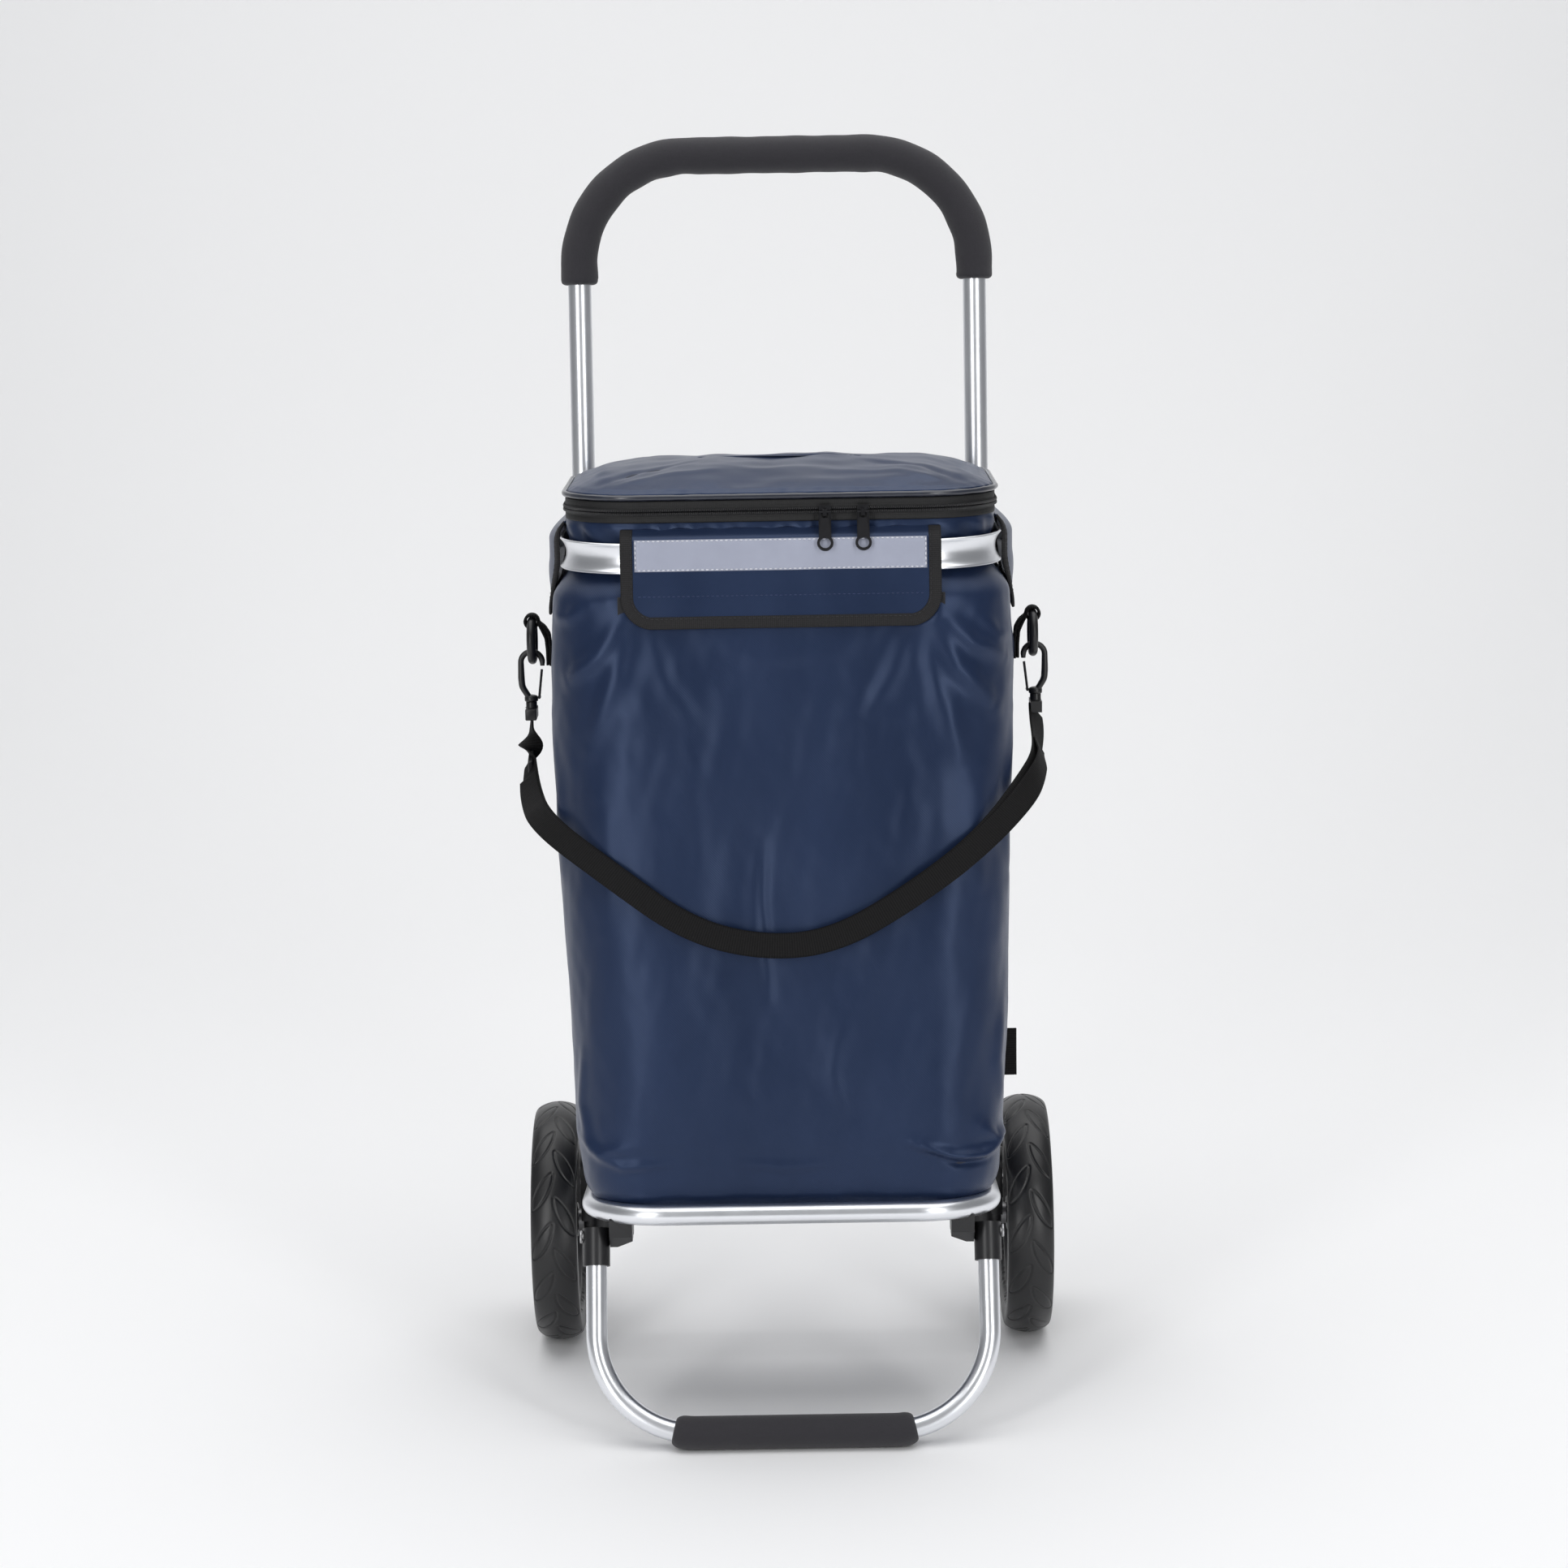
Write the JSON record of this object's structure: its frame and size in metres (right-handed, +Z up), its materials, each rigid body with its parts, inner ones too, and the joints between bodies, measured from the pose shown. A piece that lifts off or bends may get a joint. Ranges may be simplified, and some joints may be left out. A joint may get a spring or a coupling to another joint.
{
  "type": "shopping trolley",
  "caption": "Two-wheeled folding shopping trolley: a zipped fabric bag hangs in a tubular frame with a foam handle, a folding platform and foot, and a shoulder strap.",
  "frame": {"origin": "on the floor, under the middle of the bounding box", "axes": "+X to the right seen from the front, +Y to the back where the wheels are, +Z up"},
  "size_m": [0.43, 0.4, 1],
  "materials": {
    "aluminium": "satin anodised",
    "black_foam": "matt foam rubber",
    "black_plastic": "moulded, slight sheen",
    "steel": "zinc plated",
    "black_wire": "black lacquer",
    "tyre_rubber": "satin rubber",
    "navy_fabric": "coated twill with a soft sheen",
    "black_webbing": "woven polyester",
    "zip_tape": "woven tape",
    "zip_teeth": "moulded nylon",
    "velcro": "hook and loop",
    "piping": "glossy welt",
    "reflective": "reflective silver film"
  },
  "bodies": {
    "frame": {"handle_tube": "aluminium", "handle_grip": "black_foam", "axle_bracket_left": "black_plastic", "axle_bracket_right": "black_plastic", "bracket_bolts": "steel", "axle": "steel", "axle_caps": "black_plastic", "wheel_spacers": "steel", "hoop_clamp_left": "black_plastic", "hoop_clamp_right": "black_plastic", "clamp_rivets": "steel", "bag_hoop": "aluminium", "platform_pins": "steel", "bag_body": "navy_fabric", "side_label": "black_webbing", "zip_tape_lower": "zip_tape", "zip_teeth_lower": "zip_teeth", "lid_hinge_band": "navy_fabric", "front_flap": "navy_fabric", "reflective_strip": "reflective", "front_velcro": "velcro", "side_flap_left": "navy_fabric", "side_flap_right": "navy_fabric", "side_velcros": "velcro", "ring_tabs": "black_webbing", "strap_rings": "black_plastic"},
    "left_wheel": {"tyre_left": "tyre_rubber", "rim_left": "black_plastic", "hub_bush_left": "black_plastic"},
    "right_wheel": {"tyre_right": "tyre_rubber", "rim_right": "black_plastic", "hub_bush_right": "black_plastic"},
    "platform": {"platform_hoop": "aluminium", "foot_bracket_left": "black_plastic", "foot_bracket_right": "black_plastic", "foot_pins": "steel"},
    "foot": {"foot_frame": "aluminium", "foot_pad": "black_foam", "foot_socket_left": "black_plastic", "foot_socket_right": "black_plastic"},
    "lid": {"lid_panel": "navy_fabric", "lid_piping": "piping", "zip_tape_upper": "zip_tape", "zip_teeth_upper": "zip_teeth"},
    "left_slider": {"zip_slider_left": "black_wire"},
    "right_slider": {"zip_slider_right": "black_wire"},
    "left_pull": {"zip_pull_left": "black_wire"},
    "right_pull": {"zip_pull_right": "black_wire"},
    "front_tongue": {"front_flap_tongue": "navy_fabric"},
    "left_tongue": {"side_flap_tongue_left": "navy_fabric"},
    "right_tongue": {"side_flap_tongue_right": "navy_fabric"},
    "strap": {"shoulder_strap": "black_webbing", "strap_adjuster": "black_plastic", "snap_hook_left": "black_plastic", "snap_hook_right": "black_plastic", "hook_swivel_left": "black_plastic", "hook_swivel_right": "black_plastic"},
    "left_gate": {"hook_gate_left": "black_wire"},
    "right_gate": {"hook_gate_right": "black_wire"}
  },
  "joints": [
    {"name": "left_wheel_spin", "type": "hinge", "parent": "frame", "child": "left_wheel", "pos_m": [-0.196, 0.1, 0.1], "axis": [1, 0, 0], "continuous": true},
    {"name": "right_wheel_spin", "type": "hinge", "parent": "frame", "child": "right_wheel", "pos_m": [0.196, 0.1, 0.1], "axis": [1, 0, 0], "continuous": true},
    {"name": "platform_fold", "type": "hinge", "parent": "frame", "child": "platform", "pos_m": [0, 0.062, 0.157], "axis": [-1, 0, 0], "range_deg": [0, 80], "deforming": ["bag_body"]},
    {"name": "foot_fold", "type": "hinge", "parent": "platform", "child": "foot", "pos_m": [0, -0.128, 0.154], "axis": [1, 0, 0], "range_deg": [0, 104]},
    {"name": "lid_open", "type": "hinge", "parent": "frame", "child": "lid", "pos_m": [0, 0.113, 0.731], "axis": [-1, 0, 0], "range_deg": [0, 85]},
    {"name": "left_slider_slide", "type": "slide", "parent": "frame", "child": "left_slider", "axis": [1, 0, 0], "range_m": [-0.125, 0]},
    {"name": "right_slider_slide", "type": "slide", "parent": "frame", "child": "right_slider", "axis": [1, 0, 0], "range_m": [0, 0.035]},
    {"name": "left_pull_swing", "type": "hinge", "parent": "left_slider", "child": "left_pull", "pos_m": [0.034, -0.11995, 0.7185], "axis": [-1, 0, 0], "range_deg": [0, 120]},
    {"name": "right_pull_swing", "type": "hinge", "parent": "right_slider", "child": "right_pull", "pos_m": [0.063, -0.11995, 0.7185], "axis": [-1, 0, 0], "range_deg": [0, 120]},
    {"name": "front_flap_open", "type": "hinge", "parent": "frame", "child": "front_tongue", "pos_m": [0, -0.1259, 0.674], "axis": [-1, 0, 0], "range_deg": [0, 95]},
    {"name": "left_flap_open", "type": "hinge", "parent": "frame", "child": "left_tongue", "pos_m": [-0.1719, 0, 0.674], "axis": [0, -1, 0], "range_deg": [-80, 0]},
    {"name": "right_flap_open", "type": "hinge", "parent": "frame", "child": "right_tongue", "pos_m": [0.1719, 0, 0.674], "axis": [0, 1, 0], "range_deg": [-80, 0]},
    {"name": "strap_swing", "type": "hinge", "parent": "frame", "child": "strap", "pos_m": [0, 0, 0.608], "axis": [-1, 0, 0], "range_deg": [0, 125]},
    {"name": "left_gate_press", "type": "hinge", "parent": "strap", "child": "left_gate", "pos_m": [-0.1946, 0, 0.5625], "axis": [0, -1, 0], "range_deg": [0, 15], "stiffness_Nm_per_rad": 0.01},
    {"name": "right_gate_press", "type": "hinge", "parent": "strap", "child": "right_gate", "pos_m": [0.1946, 0, 0.5625], "axis": [0, 1, 0], "range_deg": [0, 15], "stiffness_Nm_per_rad": 0.01}
  ]
}
